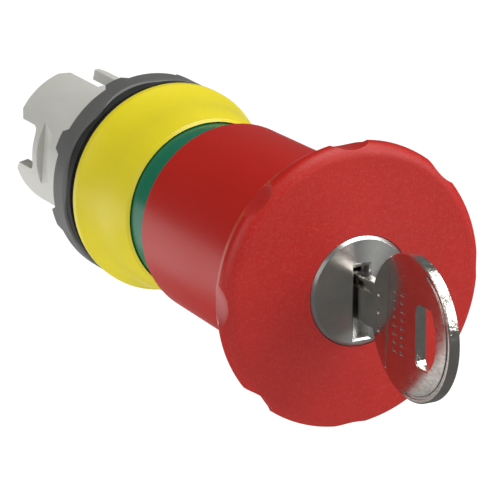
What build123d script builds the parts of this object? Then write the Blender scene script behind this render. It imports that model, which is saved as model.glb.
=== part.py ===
"""Key-release mushroom head of an emergency stop button, for a 22 mm panel hole.

The head is an assembly of separate pieces. A flanged barrel goes through the panel and carries a
yellow collar and a green indicator sleeve. A red mushroom cap slides on them with its lock, its
plunger and its key. A wire clip latches the plunger, and a cam on the lock's shaft frees it.

Frame: the origin is the centre of the panel seat, the button faces -Y and +Z is up. The variables
below that end in AT, REAR, FRONT or FLOOR are distances in front of the panel seat, in millimetres,
so those behind the panel are negative. Angles are seen from the front, from +X towards +Z.
"""
import os
from math import cos, radians, sin

from build123d import *

# Barrel, which fills the panel hole
BARREL_R = 10.8
BARREL_BORE_R = 9.3
BARREL_REAR = -21.1
BARREL_CORNER = 1.4
PILOT_R = 11.05
PILOT_REAR = -7.0
PILOT_RELIEF_R = 10.7
NOTCH_ANGLE = 173.0
NOTCH_WIDTH = 36.0
NOTCH_FLOOR = -14.8
NOTCH_CORNER_R = 1.2
SLOT_ANGLE = 88.75
SLOT_WIDTH = 21.5
SLOT_FLOOR = -10.6
BAYONET_ANGLE = 175.0
BAYONET_REAR = -13.3
BAYONET_FRONT = -9.9
BAYONET_REAR_R = 9.7
BAYONET_FRONT_R = 10.2
BARREL_FLANGE_R = 13.7
BARREL_FLANGE_FRONT = 3.3
SPIGOT_R = 11.5
SPIGOT_FRONT = 20.0

# Flange ring, gasket and seal
RING_R = 15.26
RING_FRONT_R = 15.1
RING_FRONT = 5.35
RING_EDGE_HEIGHT = 1.2
RING_EDGE_BEVEL = 0.4
FACET_AT = 4.15
FACET_REACH = 7.0
LUG_HEIGHT = 1.3
LUG_COUNT = 8
LUG_ANGLE = 18.0
LUG_TIP_DEGREES = 10.0
LUG_ROOT_DEGREES = 15.0
LUG_INNER_R = 13.95
GASKET_INNER_R = 11.1
GASKET_OUTER_R = 13.6
SEAL_R = 14.7
SEAL_TOOTH_R = 15.0
SEAL_LIP_R = 15.15
SEAL_LIP_ROOT_R = 14.2
SEAL_LIP_REAR = 5.65
SEAL_LIP_FRONT = 6.45

# Collar and indicator sleeve
COLLAR_REAR = 7.7
COLLAR_FRONT = 20.45
COLLAR_R = 15.42
COLLAR_CREASE_AT = 15.1
COLLAR_CREASE_R = 13.95
COLLAR_LIP_R = 13.1
COLLAR_LIP_SLOPE = 0.45
COLLAR_BORE_R = 12.65
COLLAR_BEVEL = 0.3
COLLAR_SHOULDER = 1.2
COLLAR_BULGE = 0.25
COLLAR_HOLLOW = -0.12
SLEEVE_R = 12.5
SLEEVE_FRONT = 29.2
SLEEVE_BEVEL = 0.2

# Mushroom cap
TRAVEL = 5.5
SKIRT_REAR = 26.4
SKIRT_R = 14.0
SKIRT_BORE_R = 12.8
SKIRT_BEVEL = 0.25
NECK_R = 14.5
NECK_FRONT = 53.5
NECK_FLARE = -1.0
RIM_R = 20.0
RIM_REAR = 59.2
RIM_FRONT = 61.75
RIM_BEVEL = 0.4
FACE_AT = 63.1
FACE_DOME = 0.15
SCALLOP_COUNT = 8
RIM_ROUND = 2.0
SCALLOP_R = 5.3
SCALLOP_TAPER = 8.0
SCALLOP_CENTRE_R = 24.8
LOCK_OPENING_R = 7.78
CAP_FLOOR = 60.5

# Lock
LOCK_R = 9.0
LOCK_REAR = 38.0
PLUG_R = 7.2
PLUG_REAR = 39.6
PLUG_FACE_R = 7.7
PLUG_FACE_ROUND = 0.4
PLUG_FACE_AT = 63.45
TAIL_R = 3.9
TAIL_REAR = 36.75
KEYWAY_LOW = -4.2
KEYWAY_HIGH = 2.9
KEYWAY_MOUTH_WIDTH = 2.4
KEYWAY_MOUTH_LOW = -6.6
KEYWAY_MOUTH_HIGH = 3.8
KEYWAY_MOUTH_DEPTH = 1.8
WAFER_COUNT = 5
WAFER_PITCH = 2.6
WAFER_FIRST_AT = 57.4
WAFER_THICKNESS = 0.8
WAFER_WIDTH = 6.4
WAFER_TRAVEL = 0.6
WAFER_R = 7.1
ARM_HEIGHT = 0.9
WINDOW_GAP = 0.15
WINDOW_WIDTH = 2.2

# Plunger, its guide and its latch
STEM_R = 6.8
STEM_REAR = -13.0
STEM_BORE_R = 2.75
STEM_BORE_FLOOR = -1.5
DISC_R = 12.6
DISC_REAR = 35.3
GUIDE_REAR = -2.3
GUIDE_FRONT = 12.0
RETAINER_REAR = -8.0
LATCH_AT = -3.0
CLIP_WIRE_R = 0.5
CLIP_LEG_AT = 6.35
CLIP_ANGLE = 30.0
FOOT_R = 8.5
FOOT_REAR = -15.2
SPRING_R = 8.1
SPRING_WIRE_R = 0.5
SPRING_TURNS = 8

# Key
KEY_THICKNESS = 1.6
BLADE_LOW = -3.9
BLADE_HIGH = 2.6
BLADE_LENGTH = 21.5
BOW_OUT = 13.7
BOW_HEIGHT_AT = -1.0
BOW_R = 10.0

# Clearances between pieces, and how far a cut runs past the body it cuts
RUNNING = 0.08
SNUG = 0.05
CUT_MARGIN = 1.0

# Half a section through the axis: local x is the radius, local y is the distance in front.
SECTION = Plane(origin=(0, 0, 0), x_dir=(1, 0, 0), z_dir=(0, 0, -1))
# The key's plane: local x is the distance in front, local y is up.
KEY_PLANE = Plane(origin=(0, 0, 0), x_dir=(0, -1, 0), z_dir=(-1, 0, 0))

os.makedirs("parts", exist_ok=True)


def front_plane(distance):
    """A plane square to the axis, facing the front, this far in front of the panel seat."""
    return Plane.XZ.offset(distance)


def side_plane(angle):
    """A plane through the axis that faces outward at this angle; its local y is forward."""
    turn = radians(angle)
    return Plane(origin=(0, 0, 0), x_dir=(-sin(turn), 0, cos(turn)), z_dir=(cos(turn), 0, sin(turn)))


def radial_section(angle):
    """A half section at this angle: local x is the radius, local y is the distance in front."""
    turn = radians(angle)
    return Plane(origin=(0, 0, 0), x_dir=(cos(turn), 0, sin(turn)), z_dir=(sin(turn), 0, -cos(turn)))


def band(inner, outer, rear, front, mode=Mode.ADD):
    """A rectangle in the half section, which a revolve makes into a ring."""
    with Locations(((inner + outer) / 2, (rear + front) / 2)):
        Rectangle(outer - inner, front - rear, mode=mode)


def wedges(angle, width, reach, count=2):
    """Triangles with their points on the axis, spaced evenly round it."""
    half = radians(width / 2)
    with PolarLocations(0, count, start_angle=angle):
        Polygon((0, 0), (reach * cos(half), -reach * sin(half)), (reach * cos(half), reach * sin(half)))


# Barrel housing: a flanged tube, with notches, slots and bayonet flats at its rear end
with BuildPart() as barrel_housing:
    with BuildSketch(SECTION):
        band(BARREL_BORE_R, BARREL_R, BARREL_REAR, PILOT_REAR)
        band(BARREL_BORE_R, PILOT_R, PILOT_REAR, 0)
        band(BARREL_BORE_R, PILOT_RELIEF_R, 0, LUG_HEIGHT)
        band(BARREL_BORE_R, BARREL_FLANGE_R, LUG_HEIGHT, BARREL_FLANGE_FRONT)
        band(BARREL_BORE_R, SPIGOT_R, BARREL_FLANGE_FRONT, SPIGOT_FRONT)
    revolve(axis=Axis.Y)
    with BuildSketch(front_plane(BARREL_REAR)):
        wedges(NOTCH_ANGLE, NOTCH_WIDTH, 2 * BARREL_R)
    extrude(amount=NOTCH_FLOOR - BARREL_REAR, mode=Mode.SUBTRACT)
    with BuildSketch(front_plane(BARREL_REAR)):
        wedges(SLOT_ANGLE, SLOT_WIDTH, 2 * BARREL_R)
    extrude(amount=SLOT_FLOOR - BARREL_REAR, mode=Mode.SUBTRACT)
    rear_corners = barrel_housing.edges().filter_by(GeomType.LINE).group_by(Axis.Y)[-1]
    chamfer(rear_corners, BARREL_CORNER)
    floor_corners = barrel_housing.edges().filter_by(GeomType.LINE).filter_by_position(
        Axis.Y, -NOTCH_FLOOR - SNUG, -NOTCH_FLOOR + SNUG
    )
    fillet(floor_corners, NOTCH_CORNER_R)
    for bayonet_angle in (BAYONET_ANGLE, BAYONET_ANGLE + 180):
        with BuildSketch(radial_section(bayonet_angle)):
            Polygon(
                (BAYONET_REAR_R, BAYONET_REAR),
                (2 * BARREL_R, BAYONET_REAR),
                (2 * BARREL_R, BAYONET_FRONT),
                (BAYONET_FRONT_R, BAYONET_FRONT),
                align=None,
            )
        extrude(amount=BARREL_R, both=True, mode=Mode.SUBTRACT)
barrel_housing.part.label = "barrel_housing"
export_step(barrel_housing.part, "parts/barrel_housing.step")


def facet_outline(gap):
    """The corner that a facet takes off the front of the flange ring, less a gap."""
    reach = RING_R + FACET_AT + gap
    Polygon(
        (reach - RING_FRONT - CUT_MARGIN, RING_FRONT + CUT_MARGIN),
        (RING_R + CUT_MARGIN, reach - RING_R - CUT_MARGIN),
        (RING_R + CUT_MARGIN, RING_FRONT + CUT_MARGIN),
        align=None,
    )


# Flange ring: it clamps the barrel's flange, its lugs bite on the panel, and eight facets cut its front
with BuildPart() as flange_ring:
    with BuildSketch(SECTION):
        with BuildLine():
            Polyline(
                (LUG_INNER_R, 0),
                (RING_R, 0),
                (RING_R, RING_FRONT - RING_EDGE_HEIGHT),
                (RING_FRONT_R, RING_FRONT - RING_EDGE_BEVEL),
                (RING_FRONT_R - RING_EDGE_BEVEL, RING_FRONT),
                (SPIGOT_R + SNUG, RING_FRONT),
                (SPIGOT_R + SNUG, BARREL_FLANGE_FRONT + SNUG),
                (LUG_INNER_R, BARREL_FLANGE_FRONT + SNUG),
                close=True,
            )
        make_face()
    revolve(axis=Axis.Y)
    lug_pitch = 360 / LUG_COUNT
    tip_gap = RING_R * sin(radians((lug_pitch - LUG_TIP_DEGREES) / 2))
    root_gap = RING_R * sin(radians((lug_pitch - LUG_ROOT_DEGREES) / 2))
    for lug in range(LUG_COUNT):
        with BuildSketch(side_plane(LUG_ANGLE + (lug + 0.5) * lug_pitch)):
            Polygon((-tip_gap, 0), (tip_gap, 0), (root_gap, LUG_HEIGHT), (-root_gap, LUG_HEIGHT))
        extrude(amount=2 * RING_R, mode=Mode.SUBTRACT)
        with BuildSketch(radial_section(LUG_ANGLE + lug * lug_pitch)):
            facet_outline(0)
        extrude(amount=FACET_REACH, both=True, mode=Mode.SUBTRACT)
flange_ring.part.label = "flange_ring"
export_step(flange_ring.part, "parts/flange_ring.step")

# Panel gasket: a flat rubber ring that the flange presses on the panel
with BuildPart() as panel_gasket:
    with BuildSketch(SECTION):
        band(GASKET_INNER_R, GASKET_OUTER_R, 0, LUG_HEIGHT)
    revolve(axis=Axis.Y)
panel_gasket.part.label = "panel_gasket"
export_step(panel_gasket.part, "parts/panel_gasket.step")

# Collar seal: a rubber ring between the flange ring and the collar, with a lip and a tooth in each facet
with BuildPart() as seal_teeth:
    for lug in range(LUG_COUNT):
        with BuildSketch(radial_section(LUG_ANGLE + lug * lug_pitch)):
            facet_outline(SNUG)
        extrude(amount=FACET_REACH, both=True)
    with BuildSketch(SECTION):
        band(SPIGOT_R, SEAL_TOOTH_R, 0, RING_FRONT)
    revolve(axis=Axis.Y, mode=Mode.INTERSECT)
with BuildPart() as collar_seal:
    with BuildSketch(SECTION):
        band(SPIGOT_R + SNUG, SEAL_R, RING_FRONT, COLLAR_REAR)
        band(SEAL_LIP_ROOT_R, SEAL_LIP_R, SEAL_LIP_REAR, SEAL_LIP_FRONT)
    revolve(axis=Axis.Y)
    add(seal_teeth.part)
collar_seal.part.label = "collar_seal"
export_step(collar_seal.part, "parts/collar_seal.step")

# Yellow collar: a round shoulder at the rear, a crease, and a hollow taper to a thin front lip
with BuildPart() as yellow_collar:
    with BuildSketch(SECTION):
        with BuildLine():
            rear_corner = (COLLAR_R - COLLAR_BEVEL, COLLAR_REAR)
            shoulder = (COLLAR_R, COLLAR_REAR + COLLAR_BEVEL)
            shoulder_end = (COLLAR_R, COLLAR_REAR + COLLAR_SHOULDER)
            crease = (COLLAR_CREASE_R, COLLAR_CREASE_AT)
            lip = (COLLAR_LIP_R, COLLAR_FRONT - COLLAR_LIP_SLOPE)
            Line((COLLAR_BORE_R, COLLAR_REAR), rear_corner)
            Line(rear_corner, shoulder)
            Line(shoulder, shoulder_end)
            SagittaArc(shoulder_end, crease, COLLAR_BULGE)
            SagittaArc(crease, lip, COLLAR_HOLLOW)
            Line(lip, (COLLAR_BORE_R + SNUG, COLLAR_FRONT))
            Line((COLLAR_BORE_R + SNUG, COLLAR_FRONT), (COLLAR_BORE_R, COLLAR_FRONT - SNUG))
            Line((COLLAR_BORE_R, COLLAR_FRONT - SNUG), (COLLAR_BORE_R, COLLAR_REAR))
        make_face()
    revolve(axis=Axis.Y)
yellow_collar.part.label = "yellow_collar"
export_step(yellow_collar.part, "parts/yellow_collar.step")

# Green indicator sleeve: the band that the cap hides when it is pressed
with BuildPart() as green_sleeve:
    with BuildSketch(SECTION):
        band(SPIGOT_R + SNUG, SLEEVE_R, COLLAR_REAR, SLEEVE_FRONT)
    revolve(axis=Axis.Y)
    front_edges = green_sleeve.edges().group_by(Axis.Y)[0]
    chamfer(front_edges, SLEEVE_BEVEL)
green_sleeve.part.label = "green_indicator_sleeve"
export_step(green_sleeve.part, "parts/green_indicator_sleeve.step")

# Guide sleeve: the plunger's bearing in the barrel, with a groove for the stem seal
SEAL_GROOVE_AT = 10.0
SEAL_CORD_R = 0.8
SEAL_GROOVE_DEPTH = 2 * SEAL_CORD_R + SNUG
with BuildPart() as guide_sleeve:
    with BuildSketch(SECTION):
        band(STEM_R + RUNNING, BARREL_BORE_R - SNUG, GUIDE_REAR, GUIDE_FRONT)
        band(
            STEM_R,
            STEM_R + RUNNING + SEAL_GROOVE_DEPTH,
            SEAL_GROOVE_AT - SEAL_CORD_R - SNUG,
            SEAL_GROOVE_AT + SEAL_CORD_R + SNUG,
            mode=Mode.SUBTRACT,
        )
    revolve(axis=Axis.Y)
guide_sleeve.part.label = "guide_sleeve"
export_step(guide_sleeve.part, "parts/guide_sleeve.step")

# Stem seal: an O-ring on the plunger
with BuildPart() as stem_seal:
    with BuildSketch(SECTION):
        with Locations((STEM_R + SNUG + SEAL_CORD_R, SEAL_GROOVE_AT)):
            Circle(SEAL_CORD_R)
    revolve(axis=Axis.Y)
stem_seal.part.label = "stem_seal"
export_step(stem_seal.part, "parts/stem_seal.step")

# Clip retainer: the ring that holds the latch clip against the guide sleeve
RETAINER_FRONT = 2 * LATCH_AT - GUIDE_REAR
with BuildPart() as clip_retainer:
    with BuildSketch(SECTION):
        band(STEM_R + RUNNING, BARREL_BORE_R - SNUG, RETAINER_REAR, RETAINER_FRONT)
    revolve(axis=Axis.Y)
clip_retainer.part.label = "clip_retainer"
export_step(clip_retainer.part, "parts/clip_retainer.step")

# Latch clip: a bent spring wire, whose two legs lie in the plunger's groove
CLIP_TIP_AT = 5.6
CLIP_KNEE_AT = -5.2
CLIP_BRIDGE_AT = -7.9
CLIP_BRIDGE_HALF = 3.3
CLIP_BEND_R = 1.2
with BuildPart() as latch_clip:
    clip_turn = radians(CLIP_ANGLE)
    clip_plane = Plane(
        origin=(0, -LATCH_AT, 0),
        x_dir=(cos(clip_turn), 0, sin(clip_turn)),
        z_dir=(0, -1, 0),
    )
    with BuildLine(clip_plane) as clip_wire:
        FilletPolyline(
            (CLIP_LEG_AT, CLIP_TIP_AT),
            (CLIP_LEG_AT, CLIP_KNEE_AT),
            (CLIP_BRIDGE_HALF, CLIP_BRIDGE_AT),
            (-CLIP_BRIDGE_HALF, CLIP_BRIDGE_AT),
            (-CLIP_LEG_AT, CLIP_KNEE_AT),
            (-CLIP_LEG_AT, CLIP_TIP_AT),
            radius=CLIP_BEND_R,
        )
    with BuildSketch(Plane(origin=clip_wire.line @ 0, z_dir=clip_wire.line % 0)):
        Circle(CLIP_WIRE_R)
    sweep(path=clip_wire.line)
latch_clip.part.label = "latch_clip"
export_step(latch_clip.part, "parts/latch_clip.step")

# Spring washer: the seat of the return spring on the guide sleeve
WASHER_FRONT = GUIDE_FRONT + 0.8
WASHER_INNER_R = 7.1
WASHER_OUTER_R = 9.2
with BuildPart() as spring_washer:
    with BuildSketch(SECTION):
        band(WASHER_INNER_R, WASHER_OUTER_R, GUIDE_FRONT, WASHER_FRONT)
    revolve(axis=Axis.Y)
spring_washer.part.label = "spring_washer"
export_step(spring_washer.part, "parts/spring_washer.step")

# Return spring: it pushes the cap out when the latch is freed
SPRING_LENGTH = DISC_REAR - WASHER_FRONT - 2 * SPRING_WIRE_R
with BuildPart() as return_spring:
    with BuildLine() as coil:
        Helix(
            pitch=SPRING_LENGTH / SPRING_TURNS,
            height=SPRING_LENGTH,
            radius=SPRING_R,
            center=(0, -WASHER_FRONT - SPRING_WIRE_R, 0),
            direction=(0, -1, 0),
        )
    with BuildSketch(Plane(origin=coil.line @ 0, z_dir=coil.line % 0)):
        Circle(SPRING_WIRE_R)
    sweep(path=coil.line, is_frenet=True)
return_spring.part.label = "return_spring"
export_step(return_spring.part, "parts/return_spring.step")

# Mushroom cap: the skirt, the scalloped rim and the domed face, cored from behind
SCREW_CIRCLE_R = 10.7
SCREW_COUNT = 3
SCREW_ANGLE = 30.0
SCREW_R = 1.0
SCREW_TIP_AT = 44.5
CORE_DEPTH = 17.0
CORE_DEGREES = 75.0
CORE_INNER_R = 10.2
CORE_OUTER_R = 12.3
WIPER_REAR = 27.4
WIPER_FRONT = 28.9
WIPER_GROOVE_R = 13.3
DISC_FRONT = LOCK_REAR - SNUG
with BuildPart() as mushroom_cap:
    with BuildSketch(SECTION):
        with BuildLine():
            Line((SKIRT_BORE_R, SKIRT_REAR), (SKIRT_R - SKIRT_BEVEL, SKIRT_REAR))
            Line((SKIRT_R - SKIRT_BEVEL, SKIRT_REAR), (SKIRT_R, SKIRT_REAR + SKIRT_BEVEL))
            Line((SKIRT_R, SKIRT_REAR + SKIRT_BEVEL), (NECK_R, NECK_FRONT))
            SagittaArc((NECK_R, NECK_FRONT), (RIM_R - RIM_BEVEL, RIM_REAR), NECK_FLARE)
            Line((RIM_R - RIM_BEVEL, RIM_REAR), (RIM_R, RIM_REAR + RIM_BEVEL))
            Line((RIM_R, RIM_REAR + RIM_BEVEL), (RIM_R, RIM_FRONT))
            SagittaArc((RIM_R, RIM_FRONT), (LOCK_OPENING_R, FACE_AT), FACE_DOME)
            Polyline(
                (LOCK_OPENING_R, FACE_AT),
                (LOCK_OPENING_R, CAP_FLOOR),
                (LOCK_R + SNUG, CAP_FLOOR),
                (LOCK_R + SNUG, LOCK_REAR),
                (SKIRT_BORE_R, LOCK_REAR),
                (SKIRT_BORE_R, WIPER_FRONT),
                (WIPER_GROOVE_R, WIPER_FRONT),
                (WIPER_GROOVE_R, WIPER_REAR),
                (SKIRT_BORE_R, WIPER_REAR),
                (SKIRT_BORE_R, SKIRT_REAR),
            )
        profile = make_face()
        fillet(profile.vertices().sort_by_distance((RIM_R, RIM_FRONT))[0], RIM_ROUND)
    revolve(axis=Axis.Y)
    with BuildSketch(front_plane(LOCK_REAR)):
        with PolarLocations(SCREW_CIRCLE_R, SCREW_COUNT, start_angle=SCREW_ANGLE):
            Circle(SCREW_R + SNUG)
    extrude(amount=SCREW_TIP_AT - LOCK_REAR, mode=Mode.SUBTRACT)
    with BuildSketch(front_plane(LOCK_REAR)):
        wedges(SCREW_ANGLE + 180 / SCREW_COUNT, CORE_DEGREES, RIM_R, count=SCREW_COUNT)
        Circle(CORE_OUTER_R, mode=Mode.INTERSECT)
        Circle(CORE_INNER_R, mode=Mode.SUBTRACT)
    extrude(amount=CORE_DEPTH, mode=Mode.SUBTRACT)
    with BuildSketch(front_plane(FACE_AT)):
        with PolarLocations(SCALLOP_CENTRE_R, SCALLOP_COUNT):
            Circle(SCALLOP_R)
    extrude(amount=NECK_FRONT - FACE_AT, taper=-SCALLOP_TAPER, mode=Mode.SUBTRACT)
mushroom_cap.part.label = "mushroom_cap"
export_step(mushroom_cap.part, "parts/mushroom_cap.step")

# Wiper seal: a rubber ring in the skirt that rubs on the indicator sleeve
with BuildPart() as wiper_seal:
    with BuildSketch(SECTION):
        band(SLEEVE_R + SNUG, WIPER_GROOVE_R - SNUG, WIPER_REAR + SNUG, WIPER_FRONT - SNUG)
    revolve(axis=Axis.Y)
wiper_seal.part.label = "wiper_seal"
export_step(wiper_seal.part, "parts/wiper_seal.step")

# Plunger stem: its disc is screwed in the cap, and its tube runs through the barrel
RECESS_R = 6.2
RECESS_FLOOR = 36.55
SCREW_HEAD_R = 1.75
SCREW_HEAD_FRONT = 36.6
GROOVE_FLAT = 5.7
GROOVE_WIDTH = 1.4
LATCHED_AT = LATCH_AT + TRAVEL
CAM_WINDOW_WIDTH = 104.0
CAM_WINDOW_ANGLE = 68.0
CAM_WINDOW_HEIGHT = 2.6
FOOT_SCREW_R = 1.2
FOOT_HOLE_FRONT = -3.5
with BuildPart() as plunger_stem:
    with BuildSketch(SECTION):
        band(0, STEM_R, STEM_REAR, DISC_REAR)
        band(0, DISC_R, DISC_REAR, DISC_FRONT)
        band(0, RECESS_R, RECESS_FLOOR, DISC_FRONT, mode=Mode.SUBTRACT)
        band(0, STEM_BORE_R, STEM_BORE_FLOOR, RECESS_FLOOR, mode=Mode.SUBTRACT)
        band(0, FOOT_SCREW_R + SNUG, STEM_REAR, FOOT_HOLE_FRONT, mode=Mode.SUBTRACT)
    revolve(axis=Axis.Y)
    for groove_at in (LATCH_AT, LATCHED_AT):
        with BuildSketch(front_plane(groove_at)):
            with PolarLocations(GROOVE_FLAT, 2, start_angle=CLIP_ANGLE):
                Rectangle(STEM_R, 2 * STEM_R, align=(Align.MIN, Align.CENTER))
        extrude(amount=GROOVE_WIDTH / 2, both=True, mode=Mode.SUBTRACT)
    with BuildSketch(front_plane(LATCHED_AT)):
        wedges(CAM_WINDOW_ANGLE, CAM_WINDOW_WIDTH, 2 * STEM_R)
    extrude(amount=CAM_WINDOW_HEIGHT / 2, both=True, mode=Mode.SUBTRACT)
    with BuildSketch(front_plane(DISC_REAR)):
        with PolarLocations(SCREW_CIRCLE_R, SCREW_COUNT, start_angle=SCREW_ANGLE):
            Circle(SCREW_R + SNUG)
    extrude(amount=DISC_FRONT - DISC_REAR, mode=Mode.SUBTRACT)
    with BuildSketch(front_plane(DISC_REAR)):
        with PolarLocations(SCREW_CIRCLE_R, SCREW_COUNT, start_angle=SCREW_ANGLE):
            Circle(SCREW_HEAD_R + SNUG)
    extrude(amount=SCREW_HEAD_FRONT + SNUG - DISC_REAR, mode=Mode.SUBTRACT)
plunger_stem.part.label = "plunger_stem"
export_step(plunger_stem.part, "parts/plunger_stem.step")

# Head screws: they hold the stem's disc in the cap, with cross recesses in their heads
SCREW_POINT_AT = 44.3
CROSS_LENGTH = 2.0
CROSS_WIDTH = 0.45
CROSS_DEPTH = 0.7
with BuildPart() as head_screws:
    with BuildSketch(front_plane(SCREW_HEAD_FRONT)):
        with PolarLocations(SCREW_CIRCLE_R, SCREW_COUNT, start_angle=SCREW_ANGLE):
            Circle(SCREW_R)
    extrude(amount=SCREW_POINT_AT - SCREW_HEAD_FRONT)
    with BuildSketch(front_plane(DISC_REAR + SNUG)):
        with PolarLocations(SCREW_CIRCLE_R, SCREW_COUNT, start_angle=SCREW_ANGLE):
            Circle(SCREW_HEAD_R)
    extrude(amount=SCREW_HEAD_FRONT - DISC_REAR - SNUG)
    with BuildSketch(front_plane(DISC_REAR + SNUG)):
        with PolarLocations(SCREW_CIRCLE_R, SCREW_COUNT, start_angle=SCREW_ANGLE):
            Rectangle(CROSS_LENGTH, CROSS_WIDTH)
            Rectangle(CROSS_WIDTH, CROSS_LENGTH)
    extrude(amount=CROSS_DEPTH, mode=Mode.SUBTRACT)
head_screws.part.label = "head_screws"
export_step(head_screws.part, "parts/head_screws.step")

# Plunger foot: the disc that presses the contact blocks, with a raised pad at each side
FOOT_FRONT = STEM_REAR - SNUG
PAD_HEIGHT = 1.2
PAD_AT = 5.6
PAD_WIDTH = 3.6
PAD_LENGTH = 5.0
PAD_CORNER_R = 0.8
FOOT_HOLE_R = 1.3
FOOT_BEVEL = 0.4
with BuildPart() as plunger_foot:
    with BuildSketch(SECTION):
        band(FOOT_HOLE_R, FOOT_R, FOOT_REAR, FOOT_FRONT)
    revolve(axis=Axis.Y)
    chamfer(plunger_foot.edges().filter_by(lambda edge: edge.length > 2 * FOOT_R), FOOT_BEVEL)
    with BuildSketch(front_plane(FOOT_REAR)):
        with Locations((-PAD_AT, 0), (PAD_AT, 0)):
            RectangleRounded(PAD_WIDTH, PAD_LENGTH, PAD_CORNER_R)
    extrude(amount=-PAD_HEIGHT)
plunger_foot.part.label = "plunger_foot"
export_step(plunger_foot.part, "parts/plunger_foot.step")

# Foot screw: a pan-head screw that holds the foot on the stem
FOOT_SCREW_HEAD = 1.3
FOOT_SCREW_HEAD_R = 2.3
FOOT_SCREW_POINT_AT = -6.5
FOOT_CROSS_LENGTH = 2.6
FOOT_CROSS_WIDTH = 0.6
FOOT_CROSS_DEPTH = 0.8
with BuildPart() as foot_screw:
    with BuildSketch(SECTION):
        band(0, FOOT_SCREW_R, FOOT_REAR - SNUG, FOOT_SCREW_POINT_AT)
        band(0, FOOT_SCREW_HEAD_R, FOOT_REAR - SNUG - FOOT_SCREW_HEAD, FOOT_REAR - SNUG)
    revolve(axis=Axis.Y)
    with BuildSketch(front_plane(FOOT_REAR - SNUG - FOOT_SCREW_HEAD)):
        Rectangle(FOOT_CROSS_LENGTH, FOOT_CROSS_WIDTH)
        Rectangle(FOOT_CROSS_WIDTH, FOOT_CROSS_LENGTH)
    extrude(amount=FOOT_CROSS_DEPTH, mode=Mode.SUBTRACT)
foot_screw.part.label = "foot_screw"
export_step(foot_screw.part, "parts/foot_screw.step")

# Lock housing: a tube with a rear wall, and a relief where the wafers stand out of the plug
RELIEF_R = 8.2
RELIEF_MARGIN = 0.8
PLUG_END_GAP = 0.1
WAFERS_AT = [WAFER_FIRST_AT - row * WAFER_PITCH for row in range(WAFER_COUNT)]
RELIEF_REAR = WAFERS_AT[-1] - RELIEF_MARGIN
RELIEF_FRONT = WAFERS_AT[0] + RELIEF_MARGIN
with BuildPart() as lock_housing:
    with BuildSketch(SECTION):
        band(TAIL_R + RUNNING, LOCK_R, LOCK_REAR, CAP_FLOOR - SNUG)
        band(TAIL_R, PLUG_R + RUNNING, PLUG_REAR - PLUG_END_GAP, CAP_FLOOR, mode=Mode.SUBTRACT)
        band(PLUG_R, RELIEF_R, RELIEF_REAR, RELIEF_FRONT, mode=Mode.SUBTRACT)
    revolve(axis=Axis.Y)
lock_housing.part.label = "lock_housing"
export_step(lock_housing.part, "parts/lock_housing.step")

# Lock plug: the steel face with the keyway, the wafer slots, and a tail for the shaft
ARM_END = 5.0
POCKET_R = 0.7
POCKET_X = 4.25
POCKET_START = 0.95
POCKET_END = 4.3
CLIP_GROOVE_R = 3.3
CLIP_GROOVE_REAR = 37.05
CLIP_GROOVE_FRONT = 37.75
TONGUE_THICKNESS = 1.5
TONGUE_FRONT = 38.1
TONGUE_GAP = 0.1
FACE_STEP_AT = CAP_FLOOR + PLUG_END_GAP
MOUTH_BEVEL = 0.25
KEYWAY_WIDTH = KEY_THICKNESS + 0.3
KEYWAY_END_GAP = 0.6
WAFER_SIDE_GAP = 0.1
WAFER_FACE_GAP = 0.08
ARM_GAP = 0.15
with BuildPart() as lock_plug:
    with BuildSketch(SECTION):
        band(0, PLUG_R, PLUG_REAR, PLUG_FACE_AT)
        band(0, TAIL_R, TAIL_REAR, PLUG_REAR)
        band(CLIP_GROOVE_R, TAIL_R, CLIP_GROOVE_REAR, CLIP_GROOVE_FRONT, mode=Mode.SUBTRACT)
        with BuildLine():
            Polyline(
                (0, FACE_STEP_AT),
                (PLUG_FACE_R, FACE_STEP_AT),
                (PLUG_FACE_R, PLUG_FACE_AT - PLUG_FACE_ROUND),
                (PLUG_FACE_R - PLUG_FACE_ROUND, PLUG_FACE_AT),
                (0, PLUG_FACE_AT),
                close=True,
            )
        make_face()
    revolve(axis=Axis.Y)
    with BuildSketch(front_plane(PLUG_FACE_AT)):
        with Locations((0, (KEYWAY_MOUTH_LOW + KEYWAY_MOUTH_HIGH) / 2)):
            Rectangle(KEYWAY_MOUTH_WIDTH, KEYWAY_MOUTH_HIGH - KEYWAY_MOUTH_LOW)
    extrude(amount=-KEYWAY_MOUTH_DEPTH, mode=Mode.SUBTRACT)
    mouth_edges = lock_plug.edges().filter_by(GeomType.LINE).group_by(Axis.Y)[0]
    chamfer(mouth_edges, MOUTH_BEVEL)
    with BuildSketch(front_plane(PLUG_FACE_AT)):
        with Locations((0, (KEYWAY_LOW + KEYWAY_HIGH) / 2)):
            Rectangle(KEYWAY_WIDTH, KEYWAY_HIGH - KEYWAY_LOW)
    extrude(amount=-BLADE_LENGTH - KEYWAY_END_GAP, mode=Mode.SUBTRACT)
    for wafer_at in WAFERS_AT:
        with BuildSketch(front_plane(wafer_at)):
            Rectangle(WAFER_WIDTH + 2 * WAFER_SIDE_GAP, 2 * PLUG_R + CUT_MARGIN)
            with Locations((ARM_END / 2, 0)):
                Rectangle(ARM_END + 2 * ARM_GAP, 2 * (POCKET_START + ARM_GAP))
        extrude(amount=WAFER_THICKNESS / 2 + WAFER_FACE_GAP, both=True, mode=Mode.SUBTRACT)
    for row, wafer_at in enumerate(WAFERS_AT):
        side = -1 if row % 2 == 0 else 1
        pocket_plane = Plane(origin=(POCKET_X, -wafer_at, 0), x_dir=(1, 0, 0), z_dir=(0, 0, side))
        with BuildSketch(pocket_plane):
            Circle(POCKET_R)
        extrude(amount=POCKET_END, mode=Mode.SUBTRACT)
    with BuildSketch(front_plane(TAIL_REAR)):
        Rectangle(2 * TAIL_R, TONGUE_THICKNESS + TONGUE_GAP)
    extrude(amount=TONGUE_FRONT + TONGUE_GAP - TAIL_REAR, mode=Mode.SUBTRACT)
lock_plug.part.label = "lock_plug"
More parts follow.
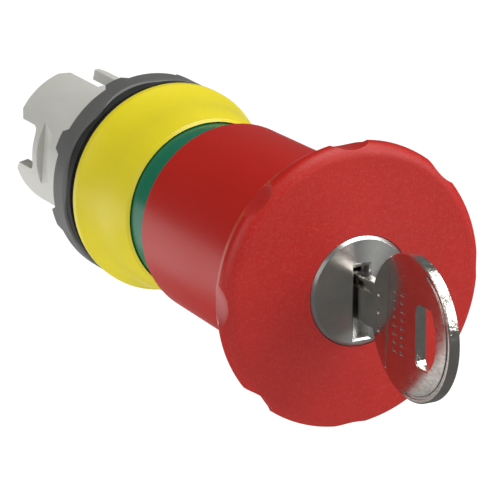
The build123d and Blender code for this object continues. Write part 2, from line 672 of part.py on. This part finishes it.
export_step(lock_plug.part, "parts/lock_plug.step")

# Plug circlip: the open ring in the tail's groove that keeps the plug in the housing
CIRCLIP_R = 5.4
CIRCLIP_OPENING = 3.2
with BuildPart() as plug_circlip:
    with BuildSketch(front_plane(CLIP_GROOVE_REAR + SNUG)):
        Circle(CIRCLIP_R)
        Circle(CLIP_GROOVE_R + SNUG, mode=Mode.SUBTRACT)
        Rectangle(CIRCLIP_OPENING, 2 * CIRCLIP_R, align=(Align.CENTER, Align.MIN), mode=Mode.SUBTRACT)
    extrude(amount=CLIP_GROOVE_FRONT - CLIP_GROOVE_REAR - 2 * SNUG)
plug_circlip.part.label = "plug_circlip"
export_step(plug_circlip.part, "parts/plug_circlip.step")

# Release shaft: it carries the key's turn from the plug's tail to the cam
CAM_SEAT_FRONT = LATCHED_AT + CAM_WINDOW_HEIGHT / 2
CAM_SEAT_R = 1.5
CAM_SEAT_FLAT = 1.1
SHAFT_R = STEM_BORE_R - RUNNING
SHAFT_FRONT = 36.6
SHAFT_REAR = -1.2
TONGUE_WIDTH = 5.0
with BuildPart() as release_shaft:
    with BuildSketch(front_plane(CAM_SEAT_FRONT)):
        Circle(SHAFT_R)
    extrude(amount=SHAFT_FRONT - CAM_SEAT_FRONT)
    with BuildSketch(front_plane(SHAFT_FRONT)):
        Rectangle(TONGUE_WIDTH, TONGUE_THICKNESS)
    extrude(amount=TONGUE_FRONT - SHAFT_FRONT)
    with BuildSketch(front_plane(SHAFT_REAR)):
        Circle(CAM_SEAT_R)
        Rectangle(2 * CAM_SEAT_FLAT, 2 * CAM_SEAT_R, mode=Mode.INTERSECT)
    extrude(amount=CAM_SEAT_FRONT - SHAFT_REAR)
release_shaft.part.label = "release_shaft"
export_step(release_shaft.part, "parts/release_shaft.step")

# Release cam: two lobes that spread the latch clip when the key turns
CAM_LOBE_R = 6.5
CAM_THICKNESS = 2.0
CAM_WIDTH = 2.2
CAM_HUB_R = 2.6
with BuildPart() as release_cam:
    with BuildSketch(front_plane(LATCHED_AT)):
        Rectangle(CAM_WIDTH, 2 * CAM_LOBE_R)
        Circle(CAM_LOBE_R, mode=Mode.INTERSECT)
        Circle(CAM_HUB_R)
        Rectangle(2 * (CAM_SEAT_FLAT + SNUG), 2 * (CAM_SEAT_R + SNUG), mode=Mode.SUBTRACT)
    extrude(amount=CAM_THICKNESS / 2, both=True)
release_cam.part.label = "release_cam"
export_step(release_cam.part, "parts/release_cam.step")


def wafer_outline(side):
    """A plate with round ends, a spring arm, and a window that the blade goes through."""
    window_low = BLADE_LOW - WINDOW_GAP - (WAFER_TRAVEL if side > 0 else 0)
    window_high = BLADE_HIGH + WINDOW_GAP + (WAFER_TRAVEL if side < 0 else 0)
    Circle(WAFER_R)
    Rectangle(WAFER_WIDTH, 2 * PLUG_R, mode=Mode.INTERSECT)
    with Locations((WAFER_WIDTH / 4 + ARM_END / 2, -side * ARM_HEIGHT / 2)):
        Rectangle(ARM_END - WAFER_WIDTH / 2, ARM_HEIGHT)
    with Locations((0, (window_low + window_high) / 2)):
        Rectangle(WINDOW_WIDTH, window_high - window_low, mode=Mode.SUBTRACT)


# Upper wafers: brass plates that rise out of the plug when the key leaves
with BuildPart() as upper_wafers:
    for wafer_at in WAFERS_AT[0::2]:
        with BuildSketch(front_plane(wafer_at)):
            wafer_outline(side=1)
        extrude(amount=WAFER_THICKNESS / 2, both=True)
upper_wafers.part.label = "upper_wafers"
export_step(upper_wafers.part, "parts/upper_wafers.step")

# Lower wafers: the same plates the other way up
with BuildPart() as lower_wafers:
    for wafer_at in WAFERS_AT[1::2]:
        with BuildSketch(front_plane(wafer_at)):
            wafer_outline(side=-1)
        extrude(amount=WAFER_THICKNESS / 2, both=True)
lower_wafers.part.label = "lower_wafers"
export_step(lower_wafers.part, "parts/lower_wafers.step")

# Wafer springs: one small coil in each pocket of the plug, under the wafer's arm
WAFER_SPRING_R = 0.45
WAFER_WIRE_R = 0.1
WAFER_SPRING_TURNS = 5
WAFER_SPRING_LENGTH = POCKET_END - POCKET_START - 4 * WAFER_WIRE_R
with BuildPart() as wafer_springs:
    for row, wafer_at in enumerate(WAFERS_AT):
        side = -1 if row % 2 == 0 else 1
        with BuildLine() as wafer_coil:
            Helix(
                pitch=WAFER_SPRING_LENGTH / WAFER_SPRING_TURNS,
                height=WAFER_SPRING_LENGTH,
                radius=WAFER_SPRING_R,
                center=(POCKET_X, -wafer_at, side * (POCKET_START + 2 * WAFER_WIRE_R)),
                direction=(0, 0, side),
            )
        with BuildSketch(Plane(origin=wafer_coil.line @ 0, z_dir=wafer_coil.line % 0)):
            Circle(WAFER_WIRE_R)
        sweep(path=wafer_coil.line, is_frenet=True)
wafer_springs.part.label = "wafer_springs"
export_step(wafer_springs.part, "parts/wafer_springs.step")

# Key: a round bow with a ring slot, and a flat blade that fills the keyway
BOW_AT = PLUG_FACE_AT + BOW_OUT
BLADE_TIP_AT = PLUG_FACE_AT - BLADE_LENGTH
TIP_BEVEL = 1.0
RING_SLOT_REAR = PLUG_FACE_AT + 15.3
RING_SLOT_FRONT = PLUG_FACE_AT + 20.1
RING_SLOT_HIGH = 2.9
RING_SLOT_LOW = -5.7
RING_SLOT_R = 6.4
RING_SLOT_CORNER_R = 1.0
BIT_DEPTH = 0.7
BIT_WIDTH = 2.2
BIT_DEGREES = 135
BLADE_GROOVE_END = PLUG_FACE_AT + 3.9
BLADE_GROOVE_DEPTH = 0.4
LEFT_GROOVE_LOW = 0.95
LEFT_GROOVE_HIGH = 2.05
RIGHT_GROOVE_LOW = -2.9
RIGHT_GROOVE_HIGH = -1.6
EDGE_BEVEL = 0.15
MARK_DEPTH = 0.12
BORDER_OUTER_R = 9.45
BORDER_INNER_R = 9.05
BORDER_TOP = 4.5
BORDER_BOTTOM = -1.6
LINE_AT = PLUG_FACE_AT + 8.05
LINE_LENGTH = 14.7
LINE_WIDTH = 0.25
LINE_TILT = -3.5
DOTS_AT = PLUG_FACE_AT + 5.8
DOT_R = 0.45
DOT_PITCH = 2.5
BARS_AT = PLUG_FACE_AT + 10.95
BAR_COLUMN_PITCH = 1.9
BAR_PITCH = 1.17
BAR_COUNT = 8
BAR_LENGTH = 1.1
BAR_WIDTH = 0.45
with BuildPart() as key:
    with BuildSketch(KEY_PLANE):
        with Locations((BOW_AT, BOW_HEIGHT_AT)):
            Circle(BOW_R)
        with Locations(((BLADE_TIP_AT + BOW_AT) / 2, (BLADE_LOW + BLADE_HIGH) / 2)):
            blade = Rectangle(BOW_AT - BLADE_TIP_AT, BLADE_HIGH - BLADE_LOW)
        chamfer(blade.vertices().group_by(Axis.X)[0], TIP_BEVEL)
        for wafer_at in WAFERS_AT:
            with Locations((wafer_at, BLADE_HIGH)):
                Trapezoid(
                    BIT_WIDTH,
                    BIT_DEPTH,
                    BIT_DEGREES,
                    align=(Align.CENTER, Align.MAX),
                    mode=Mode.SUBTRACT,
                )
    extrude(amount=KEY_THICKNESS / 2, both=True)
    with BuildSketch(KEY_PLANE) as ring_slot:
        with Locations((BOW_AT, BOW_HEIGHT_AT)):
            Circle(RING_SLOT_R)
        band(RING_SLOT_REAR, RING_SLOT_FRONT, RING_SLOT_LOW, RING_SLOT_HIGH, mode=Mode.INTERSECT)
        fillet(ring_slot.vertices().group_by(Axis.X)[0], RING_SLOT_CORNER_R)
    extrude(amount=KEY_THICKNESS, both=True, mode=Mode.SUBTRACT)
    side_faces = key.faces().filter_by(Axis.X)
    chamfer(side_faces.edges(), EDGE_BEVEL)
    for face_side, groove_low, groove_high in (
        (1, LEFT_GROOVE_LOW, LEFT_GROOVE_HIGH),
        (-1, RIGHT_GROOVE_LOW, RIGHT_GROOVE_HIGH),
    ):
        face_plane = KEY_PLANE.offset(face_side * KEY_THICKNESS / 2)
        with BuildSketch(face_plane):
            band(BLADE_TIP_AT, BLADE_GROOVE_END, groove_low, groove_high)
        extrude(amount=-face_side * BLADE_GROOVE_DEPTH, mode=Mode.SUBTRACT)
        # A border line round the front of the bow
        with BuildSketch(face_plane):
            with Locations((BOW_AT, BOW_HEIGHT_AT)):
                Circle(BORDER_OUTER_R)
                Circle(BORDER_INNER_R, mode=Mode.SUBTRACT)
                Polygon(
                    (-BOW_R, -BOW_R),
                    (BORDER_BOTTOM, -BOW_R),
                    (BORDER_TOP, BOW_R),
                    (-BOW_R, BOW_R),
                    align=None,
                    mode=Mode.SUBTRACT,
                )
        extrude(amount=-face_side * MARK_DEPTH, mode=Mode.SUBTRACT)
        # Plain marks that stand for a stamped number: a scribed line, three dots and two columns of bars
        with BuildSketch(face_plane):
            with Locations(Location((LINE_AT, BOW_HEIGHT_AT), LINE_TILT)):
                Rectangle(LINE_WIDTH, LINE_LENGTH)
            with Locations((DOTS_AT, BOW_HEIGHT_AT)):
                with GridLocations(0, DOT_PITCH, 1, 3):
                    Circle(DOT_R)
            with Locations((BARS_AT, BOW_HEIGHT_AT)):
                with GridLocations(BAR_COLUMN_PITCH, BAR_PITCH, 2, BAR_COUNT):
                    Rectangle(BAR_LENGTH, BAR_WIDTH)
        extrude(amount=-face_side * MARK_DEPTH, mode=Mode.SUBTRACT)
key.part.label = "key"
export_step(key.part, "parts/key.step")
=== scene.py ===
import math

import bpy
from mathutils import Euler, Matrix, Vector

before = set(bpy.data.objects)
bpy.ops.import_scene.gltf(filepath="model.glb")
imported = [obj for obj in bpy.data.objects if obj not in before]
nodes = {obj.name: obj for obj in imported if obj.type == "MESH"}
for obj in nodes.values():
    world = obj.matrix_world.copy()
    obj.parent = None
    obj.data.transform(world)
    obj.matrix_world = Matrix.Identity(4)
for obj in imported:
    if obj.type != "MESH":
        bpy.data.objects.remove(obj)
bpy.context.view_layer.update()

MM = 0.001

# Camera: it looks from the left and a little above, towards a point inside the front of the head. It is then
# moved sideways and up, so that the picture is framed as the photo is.
VIEW_ANGLE = math.radians(-28.998)
VIEW_ELEVATION = math.radians(17.87)
AIM_POINT = Vector((0.0, -0.06025, 0.0))
CAMERA_DISTANCE = 0.5376
AIM_SIDEWAYS = -0.013413
AIM_UPWARD = 0.004785
LENS = 288.0
SENSOR_WIDTH = 36.0
NEAREST_VISIBLE = 0.01
FARTHEST_VISIBLE = 50.0

# Studio
FLOOR_HEIGHT = -0.11
FLOOR_SIZE = 12.0
WORLD_LIGHT = 0.13
LOW_LAMP_RISE = 0.004
WHITE = (1.0, 1.0, 1.0, 1.0)

# Shaders
MATERIAL_IOR = 1.5
BUMP_STRENGTH = 1.0
BEVEL_SAMPLES = 6
FULL_EDGE_DROP = 0.12
CAP_GRAIN_STARTS_Y = -0.0597
CAP_GRAIN_FULL_Y = -0.0615


def make_camera():
    away = Vector((
        math.sin(VIEW_ANGLE) * math.cos(VIEW_ELEVATION),
        -math.cos(VIEW_ANGLE) * math.cos(VIEW_ELEVATION),
        math.sin(VIEW_ELEVATION),
    ))
    right = Vector((math.cos(VIEW_ANGLE), math.sin(VIEW_ANGLE), 0.0))
    up = away.cross(right)
    camera = bpy.data.objects.new("camera", bpy.data.cameras.new("camera"))
    camera.data.lens = LENS
    camera.data.sensor_width = SENSOR_WIDTH
    camera.data.clip_start = NEAREST_VISIBLE
    camera.data.clip_end = FARTHEST_VISIBLE
    camera.location = AIM_POINT + AIM_SIDEWAYS * right + AIM_UPWARD * up + CAMERA_DISTANCE * away
    camera.rotation_euler = Euler((math.pi / 2 - VIEW_ELEVATION, 0.0, VIEW_ANGLE))
    bpy.context.scene.collection.objects.link(camera)
    bpy.context.scene.camera = camera


# ---------------------------------------------------------------- shader building helpers


def new_material(name, roughness, metallic=0.0):
    """A material with its node tree and its Principled shader."""
    material = bpy.data.materials.new(name)
    material.use_nodes = True
    tree = material.node_tree
    shader = tree.nodes["Principled BSDF"]
    shader.inputs["Roughness"].default_value = roughness
    shader.inputs["Metallic"].default_value = metallic
    shader.inputs["IOR"].default_value = MATERIAL_IOR
    return material, tree, shader


def place(tree):
    """The point on the piece, in metres in the row's frame, which moves with the piece."""
    return tree.nodes.new("ShaderNodeTexCoord").outputs["Object"]


def noise(tree, where, scale, detail=3.0, roughness=0.55, distortion=0.0):
    texture = tree.nodes.new("ShaderNodeTexNoise")
    texture.inputs["Scale"].default_value = scale
    texture.inputs["Detail"].default_value = detail
    texture.inputs["Roughness"].default_value = roughness
    texture.inputs["Distortion"].default_value = distortion
    tree.links.new(where, texture.inputs["Vector"])
    return texture.outputs["Fac"]


def stretch(tree, where, scale):
    """The point with each axis scaled, for grain that runs one way."""
    mapping = tree.nodes.new("ShaderNodeMapping")
    mapping.inputs["Scale"].default_value = scale
    tree.links.new(where, mapping.inputs["Vector"])
    return mapping.outputs["Vector"]


def connect(tree, value, socket):
    """Sets a number on the socket, or links another node's output to it."""
    if isinstance(value, (int, float)):
        socket.default_value = value
    else:
        tree.links.new(value, socket)


def calc(tree, operation, a, b=0.0, clamp=False):
    node = tree.nodes.new("ShaderNodeMath")
    node.operation = operation
    node.use_clamp = clamp
    connect(tree, a, node.inputs[0])
    connect(tree, b, node.inputs[1])
    return node.outputs[0]


def fit(tree, value, low, high, out_low=0.0, out_high=1.0, smooth=False):
    """value, from low to high, becomes out_low to out_high, and no further."""
    node = tree.nodes.new("ShaderNodeMapRange")
    node.interpolation_type = "SMOOTHSTEP" if smooth else "LINEAR"
    node.inputs["From Min"].default_value = low
    node.inputs["From Max"].default_value = high
    node.inputs["To Min"].default_value = out_low
    node.inputs["To Max"].default_value = out_high
    tree.links.new(value, node.inputs["Value"])
    return node.outputs["Result"]


def blend_values(tree, share, first, second):
    """first where share is 0, second where it is 1; all three are outputs of other nodes."""
    node = tree.nodes.new("ShaderNodeMix")
    tree.links.new(share, node.inputs["Factor"])
    tree.links.new(first, node.inputs["A"])
    tree.links.new(second, node.inputs["B"])
    return node.outputs["Result"]


def blend_colours(tree, share, first, second):
    """first where share is 0, second where it is 1; each is a colour or another node's output."""
    node = tree.nodes.new("ShaderNodeMix")
    node.data_type = "RGBA"
    tree.links.new(share, node.inputs["Factor"])
    for name, value in (("A", first), ("B", second)):
        socket = [s for s in node.inputs if s.name == name and s.type == "RGBA"][0]
        if isinstance(value, tuple):
            socket.default_value = (*value, 1.0)
        else:
            tree.links.new(value, socket)
    return [s for s in node.outputs if s.type == "RGBA"][0]


def soft_edges(tree, radius):
    """The normal of the piece with its edges rounded by radius."""
    node = tree.nodes.new("ShaderNodeBevel")
    node.samples = BEVEL_SAMPLES
    node.inputs["Radius"].default_value = radius
    return node.outputs["Normal"]


def bump(tree, height, depth, edge_radius):
    """The normal of a surface with this relief, on edges rounded by edge_radius."""
    node = tree.nodes.new("ShaderNodeBump")
    node.inputs["Strength"].default_value = BUMP_STRENGTH
    node.inputs["Distance"].default_value = depth
    tree.links.new(height, node.inputs["Height"])
    tree.links.new(soft_edges(tree, edge_radius), node.inputs["Normal"])
    return node.outputs["Normal"]


def edge_share(tree, radius):
    """0 on the open surface, up to 1 on an edge."""
    geometry = tree.nodes.new("ShaderNodeNewGeometry")
    dot = tree.nodes.new("ShaderNodeVectorMath")
    dot.operation = "DOT_PRODUCT"
    tree.links.new(soft_edges(tree, radius), dot.inputs[0])
    tree.links.new(geometry.outputs["Normal"], dot.inputs[1])
    return fit(tree, dot.outputs["Value"], 1.0, 1.0 - FULL_EDGE_DROP)


def axis_parts(tree, where):
    split = tree.nodes.new("ShaderNodeSeparateXYZ")
    tree.links.new(where, split.inputs[0])
    return split.outputs


def distance_from_axis(tree, where):
    """A vector whose first part is the distance from the button's axis, for marks that run in rings."""
    x, y, z = axis_parts(tree, where)
    squares = calc(tree, "ADD", calc(tree, "MULTIPLY", x, x), calc(tree, "MULTIPLY", z, z))
    ring = tree.nodes.new("ShaderNodeCombineXYZ")
    tree.links.new(calc(tree, "SQRT", squares), ring.inputs[0])
    return ring.outputs[0]


def facing(tree, direction):
    """How much the surface faces a direction of the piece's own frame, from -1 to 1."""
    coordinate = tree.nodes.new("ShaderNodeTexCoord")
    dot = tree.nodes.new("ShaderNodeVectorMath")
    dot.operation = "DOT_PRODUCT"
    dot.inputs[1].default_value = direction
    tree.links.new(coordinate.outputs["Normal"], dot.inputs[0])
    return dot.outputs["Value"]


# ---------------------------------------------------------------- kinds of material


def moulded_plastic(name, colour, dark, light, roughness, wear=0.5):
    """Injection-moulded plastic: faint flow marks, fine texture, handled edges a little lighter."""
    material, tree, shader = new_material(name, roughness)
    where = place(tree)
    along_flow = stretch(tree, where, (1.0, 0.35, 1.0))
    flow = noise(tree, along_flow, scale=160.0, detail=4.0, roughness=0.6, distortion=0.6)
    tint = blend_colours(tree, fit(tree, flow, 0.35, 0.7), colour, dark)
    worn = calc(tree, "MULTIPLY", edge_share(tree, 0.22 * MM), noise(tree, where, scale=900.0, detail=2.0))
    worn = calc(tree, "MULTIPLY", worn, wear, clamp=True)
    tint = blend_colours(tree, worn, tint, light)
    tree.links.new(tint, shader.inputs["Base Color"])
    smear = noise(tree, where, scale=70.0, detail=5.0, roughness=0.6, distortion=1.2)
    finish = fit(tree, smear, 0.3, 0.75, out_low=roughness - 0.05, out_high=roughness + 0.07)
    tree.links.new(finish, shader.inputs["Roughness"])
    texture = noise(tree, where, scale=5200.0, detail=2.0, roughness=0.5)
    relief = bump(tree, texture, depth=0.004 * MM, edge_radius=0.10 * MM)
    tree.links.new(relief, shader.inputs["Normal"])
    return material


def machined_metal(name, colour, dark, roughness):
    """Drawn or turned metal with fine marks along the button's axis, and a faint stain."""
    material, tree, shader = new_material(name, roughness, metallic=1.0)
    where = place(tree)
    along_axis = stretch(tree, where, (1.0, 0.04, 1.0))
    marks = noise(tree, along_axis, scale=2200.0, detail=3.0, roughness=0.6)
    stain = noise(tree, where, scale=300.0, detail=5.0, roughness=0.7, distortion=0.8)
    tint = blend_colours(tree, fit(tree, stain, 0.40, 0.8), colour, dark)
    tree.links.new(tint, shader.inputs["Base Color"])
    marked_finish = fit(tree, marks, 0.3, 0.7, out_low=roughness - 0.06, out_high=roughness + 0.10)
    stained_finish = fit(tree, stain, 0.4, 0.8, out_low=0.0, out_high=0.14)
    tree.links.new(calc(tree, "ADD", marked_finish, stained_finish), shader.inputs["Roughness"])
    relief = bump(tree, marks, depth=0.004 * MM, edge_radius=0.08 * MM)
    tree.links.new(relief, shader.inputs["Normal"])
    return material


# ---------------------------------------------------------------- materials


def red_head():
    """Satin red plastic, with a fine grain on the front and a smoother neck, and pale specks of painted
    sheen on the front.
    """
    material, tree, shader = new_material("red_head", 0.4)
    where = place(tree)
    depth = axis_parts(tree, where)[1]
    front = fit(tree, depth, CAP_GRAIN_STARTS_Y, CAP_GRAIN_FULL_Y, smooth=True)
    along_flow = stretch(tree, where, (1.0, 0.3, 1.0))
    flow = noise(tree, along_flow, scale=120.0, detail=4.0, roughness=0.6, distortion=0.8)
    red = (0.495, 0.0080, 0.0030)
    darker_red = (0.455, 0.0070, 0.0026)
    tint = blend_colours(tree, fit(tree, flow, 0.35, 0.7), red, darker_red)
    # Painted sheen: pale specks on the front, lighter where the grain would catch light. The same noise also
    # sets the roughness of the front's grain.
    grain_and_sheen_noise = noise(tree, where, scale=2600.0, detail=3.0, roughness=0.7)
    painted_sheen_speck = calc(tree, "MULTIPLY", fit(tree, grain_and_sheen_noise, 0.50, 0.72), front)
    sheen_speck_red = (0.62, 0.10, 0.085)
    tint = blend_colours(tree, calc(tree, "MULTIPLY", painted_sheen_speck, 0.22), tint, sheen_speck_red)
    worn = calc(tree, "MULTIPLY", edge_share(tree, 0.30 * MM), noise(tree, where, scale=700.0, detail=3.0))
    worn_red = (0.70, 0.08, 0.06)
    tint = blend_colours(tree, calc(tree, "MULTIPLY", worn, 0.35, clamp=True), tint, worn_red)
    tree.links.new(tint, shader.inputs["Base Color"])
    smear = noise(tree, where, scale=60.0, detail=5.0, roughness=0.6, distortion=1.0)
    neck_finish = fit(tree, smear, 0.3, 0.75, out_low=0.29, out_high=0.37)
    face_finish = fit(tree, grain_and_sheen_noise, 0.35, 0.7, out_low=0.44, out_high=0.62)
    tree.links.new(blend_values(tree, front, neck_finish, face_finish), shader.inputs["Roughness"])
    fine = noise(tree, where, scale=3600.0, detail=3.0, roughness=0.65)
    grain = calc(tree, "MULTIPLY", fine, fit(tree, front, 0.0, 1.0, out_low=0.18, out_high=1.0))
    relief = bump(tree, grain, depth=0.030 * MM, edge_radius=0.12 * MM)
    tree.links.new(relief, shader.inputs["Normal"])
    return material


def yellow_plastic():
    return moulded_plastic(
        "yellow_finish", colour=(0.81, 0.685, 0.020), dark=(0.77, 0.645, 0.017), light=(0.88, 0.79, 0.16),
        roughness=0.34, wear=0.35,
    )


def green_plastic():
    return moulded_plastic(
        "green_finish", colour=(0.0040, 0.165, 0.088), dark=(0.0035, 0.148, 0.078), light=(0.06, 0.26, 0.17),
        roughness=0.24, wear=0.3,
    )


def light_grey_plastic():
    return moulded_plastic(
        "barrel_finish", colour=(0.62, 0.615, 0.565), dark=(0.56, 0.555, 0.51), light=(0.74, 0.73, 0.68),
        roughness=0.44, wear=0.4,
    )


def dark_grey_plastic():
    return moulded_plastic(
        "flange_finish", colour=(0.125, 0.128, 0.122), dark=(0.108, 0.111, 0.106), light=(0.23, 0.23, 0.22),
        roughness=0.42,
    )


def natural_plastic():
    return moulded_plastic(
        "natural_plastic_finish", colour=(0.62, 0.60, 0.53), dark=(0.55, 0.53, 0.46),
        light=(0.72, 0.71, 0.66), roughness=0.42,
    )


def black_plastic():
    return moulded_plastic(
        "black_plastic_finish", colour=(0.018, 0.018, 0.019), dark=(0.012, 0.012, 0.013),
        light=(0.06, 0.06, 0.06), roughness=0.40,
    )


def black_rubber():
    """Matt black rubber with a pale bloom, and paler edges."""
    material, tree, shader = new_material("black_rubber_finish", 0.62)
    black = (0.012, 0.012, 0.013)
    pale = (0.035, 0.036, 0.036)
    where = place(tree)
    bloom = noise(tree, where, scale=260.0, detail=5.0, roughness=0.65)
    tint = blend_colours(tree, fit(tree, bloom, 0.42, 0.8), black, pale)
    tint = blend_colours(tree, edge_share(tree, 0.15 * MM), tint, pale)
    tree.links.new(tint, shader.inputs["Base Color"])
    tree.links.new(fit(tree, bloom, 0.3, 0.75, out_low=0.5, out_high=0.72), shader.inputs["Roughness"])
    texture = noise(tree, where, scale=4200.0, detail=2.0)
    relief = bump(tree, texture, depth=0.006 * MM, edge_radius=0.10 * MM)
    tree.links.new(relief, shader.inputs["Normal"])
    return material


def steel():
    return machined_metal("steel_finish", colour=(0.56, 0.55, 0.53), dark=(0.36, 0.34, 0.31), roughness=0.34)


def spring_steel():
    return machined_metal(
        "spring_steel_finish", colour=(0.48, 0.46, 0.43), dark=(0.30, 0.27, 0.24), roughness=0.30)


def zinc():
    return machined_metal("zinc_finish", colour=(0.50, 0.50, 0.49), dark=(0.34, 0.34, 0.33), roughness=0.36)


def brass():
    return machined_metal("brass_finish", colour=(0.78, 0.57, 0.25), dark=(0.52, 0.36, 0.15), roughness=0.30)


def lock_face():
    """Satin metal with ring-shaped marks, so that the light gathers in wedges from the middle."""
    material, tree, shader = new_material("lock_face", 0.36, metallic=1.0)
    where = place(tree)
    marks = noise(tree, distance_from_axis(tree, where), scale=9000.0, detail=2.0, roughness=0.7)
    stain = noise(tree, where, scale=350.0, detail=4.0, roughness=0.6, distortion=0.5)
    bright = (0.80, 0.80, 0.77)
    stained = (0.70, 0.70, 0.67)
    tint = blend_colours(tree, fit(tree, stain, 0.35, 0.75), bright, stained)
    tree.links.new(tint, shader.inputs["Base Color"])
    tree.links.new(fit(tree, marks, 0.3, 0.7, out_low=0.29, out_high=0.39), shader.inputs["Roughness"])
    # A quarter turn is what true rings would give. This one was picked by trial, to bring the wedges nearer
    # to the photo's.
    shader.inputs["Anisotropic"].default_value = 0.75
    shader.inputs["Anisotropic Rotation"].default_value = 0.29
    tangent = tree.nodes.new("ShaderNodeTangent")
    tangent.direction_type = "RADIAL"
    tangent.axis = "Y"
    tree.links.new(tangent.outputs["Tangent"], shader.inputs["Tangent"])
    relief = bump(tree, marks, depth=0.002 * MM, edge_radius=0.10 * MM)
    tree.links.new(relief, shader.inputs["Normal"])
    return material


def key_nickel():
    """Bright nickel plate: mirror sides with hairline scratches, and a dented edge."""
    material, tree, shader = new_material("key_nickel", 0.12, metallic=1.0)
    where = place(tree)
    side = calc(tree, "ABSOLUTE", facing(tree, (1.0, 0.0, 0.0)))
    flat = fit(tree, side, 0.80, 0.97)
    clouds = noise(tree, where, scale=420.0, detail=4.0, roughness=0.6, distortion=0.4)
    bright = (0.72, 0.69, 0.64)
    clouded = (0.60, 0.57, 0.52)
    tint = blend_colours(tree, fit(tree, clouds, 0.35, 0.75), bright, clouded)
    tree.links.new(tint, shader.inputs["Base Color"])
    hair = noise(tree, stretch(tree, where, (1.0, 0.12, 1.0)), scale=6500.0, detail=2.0, roughness=0.6)
    dents = noise(tree, where, scale=1100.0, detail=3.0, roughness=0.6)
    side_finish = fit(tree, hair, 0.35, 0.7, out_low=0.10, out_high=0.20)
    rim_finish = fit(tree, dents, 0.35, 0.7, out_low=0.10, out_high=0.26)
    tree.links.new(blend_values(tree, flat, rim_finish, side_finish), shader.inputs["Roughness"])
    rim_dents = calc(tree, "MULTIPLY", dents, calc(tree, "SUBTRACT", 1.0, flat))
    height = calc(tree, "ADD", rim_dents, calc(tree, "MULTIPLY", clouds, 0.10))
    relief = bump(tree, height, depth=0.10 * MM, edge_radius=0.12 * MM)
    tree.links.new(relief, shader.inputs["Normal"])
    return material


def paint_cad_nodes():
    """Every node of the frame gets the finish that its real piece has."""
    painted = {
        red_head: ("mushroom_cap",),
        yellow_plastic: ("yellow_collar",),
        green_plastic: ("green_indicator_sleeve",),
        light_grey_plastic: ("barrel_housing",),
        dark_grey_plastic: ("flange_ring",),
        natural_plastic: ("guide_sleeve", "clip_retainer"),
        black_plastic: ("plunger_stem", "plunger_foot"),
        black_rubber: ("panel_gasket", "collar_seal", "stem_seal", "wiper_seal"),
        steel: ("head_screws", "foot_screw", "release_shaft", "release_cam", "spring_washer"),
        spring_steel: ("latch_clip", "return_spring", "plug_circlip", "wafer_springs"),
        zinc: ("lock_housing",),
        brass: ("upper_wafers", "lower_wafers"),
        lock_face: ("lock_plug",),
        key_nickel: ("key",),
    }
    finishes = {}
    for make_material, names in painted.items():
        finishes.update(dict.fromkeys(names, make_material()))
    for name, node in nodes.items():
        for slot in node.material_slots:
            slot.material = finishes[name]


# ---------------------------------------------------------------- studio


def floor_material():
    """Paper that glows at full white, so that no shadow shows on it."""
    material, _, shader = new_material("floor_paper", 0.9)
    shader.inputs["Base Color"].default_value = (0.10, 0.10, 0.10, 1.0)
    shader.inputs["Specular IOR Level"].default_value = 0.0
    shader.inputs["Emission Color"].default_value = WHITE
    shader.inputs["Emission Strength"].default_value = 1.0
    return material


def make_floor():
    mesh = bpy.data.meshes.new("floor")
    half = FLOOR_SIZE / 2
    corners = [(sx * half, sy * half, FLOOR_HEIGHT) for sx, sy in ((-1, -1), (1, -1), (1, 1), (-1, 1))]
    mesh.from_pydata(corners, [], [(0, 1, 2, 3)])
    mesh.materials.append(floor_material())
    floor = bpy.data.objects.new("floor", mesh)
    floor.visible_glossy = False
    bpy.context.scene.collection.objects.link(floor)


def add_softbox(name, place_at, aim, width, height, brightness):
    """A soft lamp that faces a point; its power follows from its area and its brightness."""
    light = bpy.data.lights.new(name, "AREA")
    light.shape = "RECTANGLE"
    light.size = width
    light.size_y = height
    light.energy = brightness * math.pi * width * height
    lamp = bpy.data.objects.new(name, light)
    lamp.location = place_at
    lamp.rotation_euler = (Vector(aim) - Vector(place_at)).to_track_quat("-Z", "Y").to_euler()
    lamp.visible_camera = False
    bpy.context.scene.collection.objects.link(lamp)


def make_lights():
    """Four lamps that face the button, and one on the floor behind it that faces up."""
    world = bpy.data.worlds.new("studio")
    bpy.context.scene.world = world
    world.use_nodes = True
    background = world.node_tree.nodes["Background"]
    background.inputs["Color"].default_value = WHITE
    background.inputs["Strength"].default_value = WORLD_LIGHT
    middle = (0.0, -0.04, 0.0)
    add_softbox("top_softbox", (0.32, -0.22, 0.95), middle, width=0.8, height=0.7, brightness=4.7)
    add_softbox("right_softbox", (0.90, -0.50, 0.50), middle, width=0.4, height=0.5, brightness=3.4)
    add_softbox("left_softbox", (-0.95, -0.10, 0.45), middle, width=0.7, height=0.7, brightness=1.9)
    add_softbox("front_card", (0.60, -0.74, 0.44), middle, width=0.5, height=0.50, brightness=4.0)
    behind = (-0.30, 0.85, FLOOR_HEIGHT + LOW_LAMP_RISE)
    above = (-0.30, 0.85, 1.0)
    add_softbox("low_back_softbox", behind, above, width=1.4, height=1.4, brightness=0.85)


make_camera()
paint_cad_nodes()
make_floor()
make_lights()
bpy.context.scene.view_settings.view_transform = "Standard"
